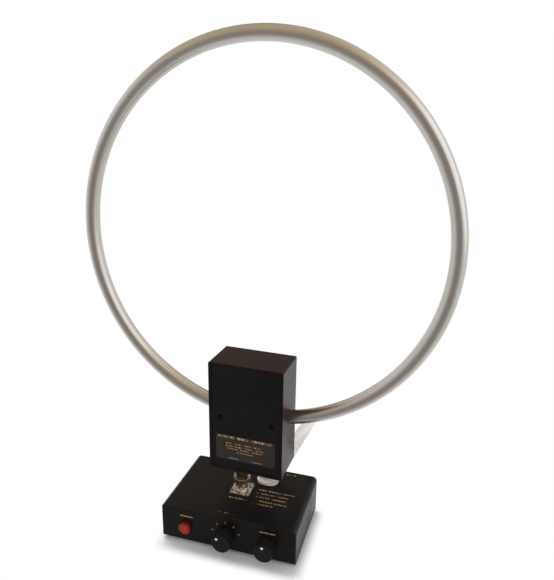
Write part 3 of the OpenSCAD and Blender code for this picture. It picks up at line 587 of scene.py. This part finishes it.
prints = {
    "lift": 0.03,  # thickness of the ink, mm
    "stroke": 0.85,  # height of a stroke, share of its bar
    "gap": 0.35,  # between strokes, mm
    "shortest": 0.4,  # what is left of a bar is dropped below this, mm
    "length": (0.9, 0.5),  # of a stroke and how much that varies, share of the bar's height
    "uneven": (7.3, 1.9),  # how fast the lengths vary along a bar and from bar to bar
    "endSteps": 6,  # of a stroke's rounded end
    "baseTop": [  # bars on the box's top: left end, right end, middle counted from the swivel axis, height
        (-7.7, 8.6, -12.3, 1.7),
        (13.3, 21.5, 4.6, 1.7), (23.0, 34.0, 4.6, 1.7), (35.5, 45.7, 4.6, 1.7),
        (13.8, 15.4, -0.3, 1.7), (17.3, 29.5, -0.3, 1.5), (31.0, 42.0, -0.3, 1.5),
        (14.2, 15.8, -5.0, 1.7), (17.7, 27.0, -5.0, 1.5), (28.5, 41.2, -5.0, 1.5),
        (14.5, 16.1, -10.1, 1.7), (18.0, 30.5, -10.1, 1.5), (32.0, 43.0, -10.1, 1.5),
        (14.6, 16.2, -14.3, 1.7), (18.3, 31.7, -14.3, 1.5),
        (-9.5, -5.6, -32.6, 0.7), (-4.2, 5.1, -32.6, 0.7),
        (31.2, 40.0, 33.0, 1.1),
    ],
    # on the upright faces the third number is the height above the table
    "baseFront": [(-42.3, -29.4, 26.3, 1.6), (28.5, 41.3, 27.1, 1.6)],
    "baseRear": [(-30.0, -18.0, 29.8, 1.4), (16.0, 32.0, 29.8, 1.4)],
    "label": [  # left, right from the head's middle; height above the head's bottom
        (-23.6, -9.4, 31.0, 2.6), (-7.0, 3.2, 31.0, 2.6), (5.6, 22.4, 31.0, 2.6),
        (-16.8, -11.5, 25.5, 1.3), (-9.5, -3.4, 25.5, 1.3), (-1.0, 5.6, 25.5, 1.3), (7.0, 14.3, 25.5, 1.3),
        (-16.8, -10.5, 22.9, 1.3), (-9.0, -2.0, 22.9, 1.3), (0.0, 7.0, 22.9, 1.3), (8.5, 15.6, 22.9, 1.3),
        (-15.4, -6.0, 20.6, 1.3), (-4.5, 4.0, 20.6, 1.3), (6.0, 15.0, 20.6, 1.3),
        (-7.2, 7.0, 18.0, 1.0),
        (-14.1, -5.9, 11.9, 1.0), (5.3, 14.4, 11.9, 1.0),
    ],
}
dial = {  # ticks round the left knob
    "middle": (-1.0, 16.2),  # mm on the front
    "first": 165, "step": -37, "stops": 5,  # degrees
    "from": 10.8, "to": 13.1, "width": 0.5,
}


def roundBar(length, height):  # flat bar on its middle, ends rounded
    radius, steps = height / 2, prints["endSteps"]
    outline = []
    for side in (1, -1):
        for step in range(steps + 1):
            angle = math.radians(180 / steps * step - 90 * side)
            outline.append((side * (length / 2 - radius) + radius * math.cos(angle), radius * math.sin(angle)))
    return outline


def printInk(name, body, place, bars):  # bars: (x, y, length, height, angle) on the face, mm
    shape = bmesh.new()
    for x, y, length, height, angle in bars:
        turn, shift = Matrix.Rotation(math.radians(angle), 2), Vector((x, y))
        corners = [turn @ Vector(point) + shift for point in roundBar(length, height)]
        under = [shape.verts.new(place @ Vector((p.x, p.y, 0)) * mm) for p in corners]
        over = [shape.verts.new(place @ Vector((p.x, p.y, prints["lift"])) * mm) for p in corners]
        shape.faces.new(over)
        shape.faces.new(under[::-1])
        count = len(corners)
        for i in range(count):
            shape.faces.new((under[i], under[(i + 1) % count], over[(i + 1) % count], over[i]))
    bmesh.ops.recalc_face_normals(shape, faces=shape.faces)
    piece = pieceFrom(shape, name, "ink")
    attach(piece, body)


def level(bars):  # each bar broken into short strokes of uneven length, as small print looks from afar
    usual, swing = prints["length"]
    alongBar, nextBar = prints["uneven"]
    strokes = []
    for left, right, middle, height in bars:
        place, count = left, 0
        while place < right - prints["shortest"]:
            wave = math.sin(alongBar * place + nextBar * middle + count)
            length = min(right - place, height * (usual + swing * wave))
            strokes.append((place + length / 2, middle, length, height * prints["stroke"], 0))
            place += length + prints["gap"]
            count += 1
    return strokes


def dialTicks(spec):
    reach = (spec["from"] + spec["to"]) / 2
    ticks = []
    for stop in range(spec["stops"]):
        angle = spec["first"] + spec["step"] * stop
        ticks.append((spec["middle"][0] + reach * math.cos(math.radians(angle)),
                      spec["middle"][1] + reach * math.sin(math.radians(angle)),
                      spec["to"] - spec["from"], spec["width"], angle))
    return ticks


def facing(origin, right, up):  # face axes to the row's frame
    right, up = Vector(right), Vector(up)
    matrix = Matrix((right, up, right.cross(up))).transposed().to_4x4()
    return Matrix.Translation(Vector(origin)) @ matrix


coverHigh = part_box("base_cover")[1] / mm
chassisLow, chassisHigh = (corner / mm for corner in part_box("base_chassis"))
labelMiddle = sum(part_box("label_plate"), Vector()) / 2
labelMiddle += labelFace.normal * (labelFace.center - labelMiddle).dot(labelFace.normal)
labelMiddle.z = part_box("head_case")[0].z
headRight = (math.cos(headTurn), math.sin(headTurn), 0)
printInk("topMarks", "base", facing((0, 0, coverHigh.z), (1, 0, 0), (0, 1, 0)), level(prints["baseTop"]))
printInk("frontMarks", "base", facing((0, chassisLow.y, 0), (1, 0, 0), (0, 0, 1)),
         level(prints["baseFront"]) + dialTicks(dial))
printInk("rearMarks", "base", facing((0, chassisHigh.y, 0), (-1, 0, 0), (0, 0, 1)), level(prints["baseRear"]))
printInk("labelMarks", "head", facing(labelMiddle / mm, headRight, (0, 0, 1)), level(prints["label"]))
print("marks printed")

studio = {  # in metres
    # the card's grey is a painted shadow: darker than the white surround, laid only around the box, with the box's
    # real shadow falling on it too
    "floor": rgb(226, 225, 223),
    "floorSize": 4,
    "shade": (0.002, -0.006),  # middle of the painted shadow patch under the box, where the grey card lies
    "shadeHalf": (0.0535, 0.0355),
    "near": 0.002,  # so far past the patch the grey card of painted shadow starts to fade
    "far": 0.014,  # and from here on only the white surround shows
    "white": (1, 1, 1, 1),
    "sky": 0.62,  # strength of the surround's light on the object
    "room": [  # polished surfaces show the white surround, toned towards these: way, stops along it, tone
        ((0.02, -0.98, -0.18), [(0.66, 0), (0.85, 0.6), (0.95, 1)], (0.35, 0.325, 0.31, 1)),  # front of the room
        ((-0.3, 0.82, 0.48), [(0.915, 0), (0.96, 1)], (0.42, 0.36, 0.31, 1)),  # back wall above the paper
        ((-0.3, -0.2, 0.93), [(0.84, 0), (0.95, 1)], (0.72, 0.72, 0.72, 1)),  # ceiling
        ((-0.15, -0.4, 0.9), [(0.74, 0), (0.9, 1)], (1, 0.85, 0.58, 1)),  # warm light overhead
    ],
    "lamps": [  # name, place, aim, size, watts, colour, shows in polished surfaces
        ("softboxRear", (-0.75, 0.55, 1.25), (0, 0, 0.15), 1.0, 15, (1, 0.985, 0.96), False),
        ("softboxRight", (1.1, -0.4, 0.76), (0, 0, 0.2), 1.55, 5.2, (0.94, 0.975, 1), True),
        ("frontFill", (-0.3, -1.3, 0.9), (0, 0, 0.15), 0.9, 3, (1, 0.99, 0.98), False),
    ],
}


def layFloor(spec):
    bpy.ops.mesh.primitive_plane_add(size=spec["floorSize"])
    floor = bpy.context.object
    floor.name = "floor"
    paint = Paint("paleFloor")
    off = [way.calc("MAXIMUM", way.calc("ABSOLUTE", way - middle) - half, 0)
           for way, middle, half in zip(paint.split(paint.spot(), "XY"), spec["shade"], spec["shadeHalf"])]
    reach = (off[0] * off[0] + off[1] * off[1]) ** 0.5
    fade = paint.add("ShaderNodeMapRange", {"interpolation_type": "SMOOTHSTEP"}, {
        "Value": reach, "From Min": spec["near"], "From Max": spec["far"]})
    # grey card under the box: painted shadow that fades to clear past the patch
    shadowCard = paint.add("ShaderNodeBsdfDiffuse", None, {"Color": spec["floor"]})
    clear = paint.add("ShaderNodeBsdfTransparent")
    floor.data.materials.append(paint.show(paint.shaderMix(fade, shadowCard, clear)))


def lightStudio(spec):
    world = bpy.data.worlds.new("studio")
    bpy.context.scene.world = world
    paint = Paint("studio", world)
    camera, glossy, through = (paint.add("ShaderNodeLightPath", out=kind)
                               for kind in ("Is Camera Ray", "Is Glossy Ray", "Is Transmission Ray"))
    way = paint.add("ShaderNodeTexCoord", out="Generated")
    tone = spec["white"]
    for aim, stops, colour in spec["room"]:
        along = paint.add("ShaderNodeVectorMath", {"operation": "DOT_PRODUCT"}, {0: way, 1: aim}, out="Value")
        share = paint.ramp(along * 0.5 + 0.5, *stops)  # 0 straight away from the aim, 1 straight at it
        tone = paint.add("ShaderNodeMix", {"data_type": "RGBA", "blend_type": "MULTIPLY"},
                         {0: share, 6: tone, 7: colour}, out=2)
    sky, room, white = (paint.add("ShaderNodeBackground", None, {"Color": colour, "Strength": strength})
                        for colour, strength in ((spec["white"], spec["sky"]), (tone, 1.0), (spec["white"], 1.0)))
    shown = paint.shaderMix(glossy, sky, room)
    shown = paint.shaderMix(camera.calc("MAXIMUM", camera, through), shown, white)
    paint.add("ShaderNodeOutputWorld", None, {"Surface": shown})
    for name, place, aim, size, watts, colour, shows in spec["lamps"]:
        data = bpy.data.lights.new(name, "AREA")
        data.size = size
        data.energy = watts
        data.color = colour
        lamp = bpy.data.objects.new(name, data)
        bpy.context.scene.collection.objects.link(lamp)
        lamp.location = place
        lamp.visible_glossy = shows
        lamp.rotation_euler = (Vector(aim) - Vector(place)).to_track_quat("-Z", "Y").to_euler()


layFloor(studio)
lightStudio(studio)
bpy.context.scene.view_settings.view_transform = "Standard"
print("studio lit")
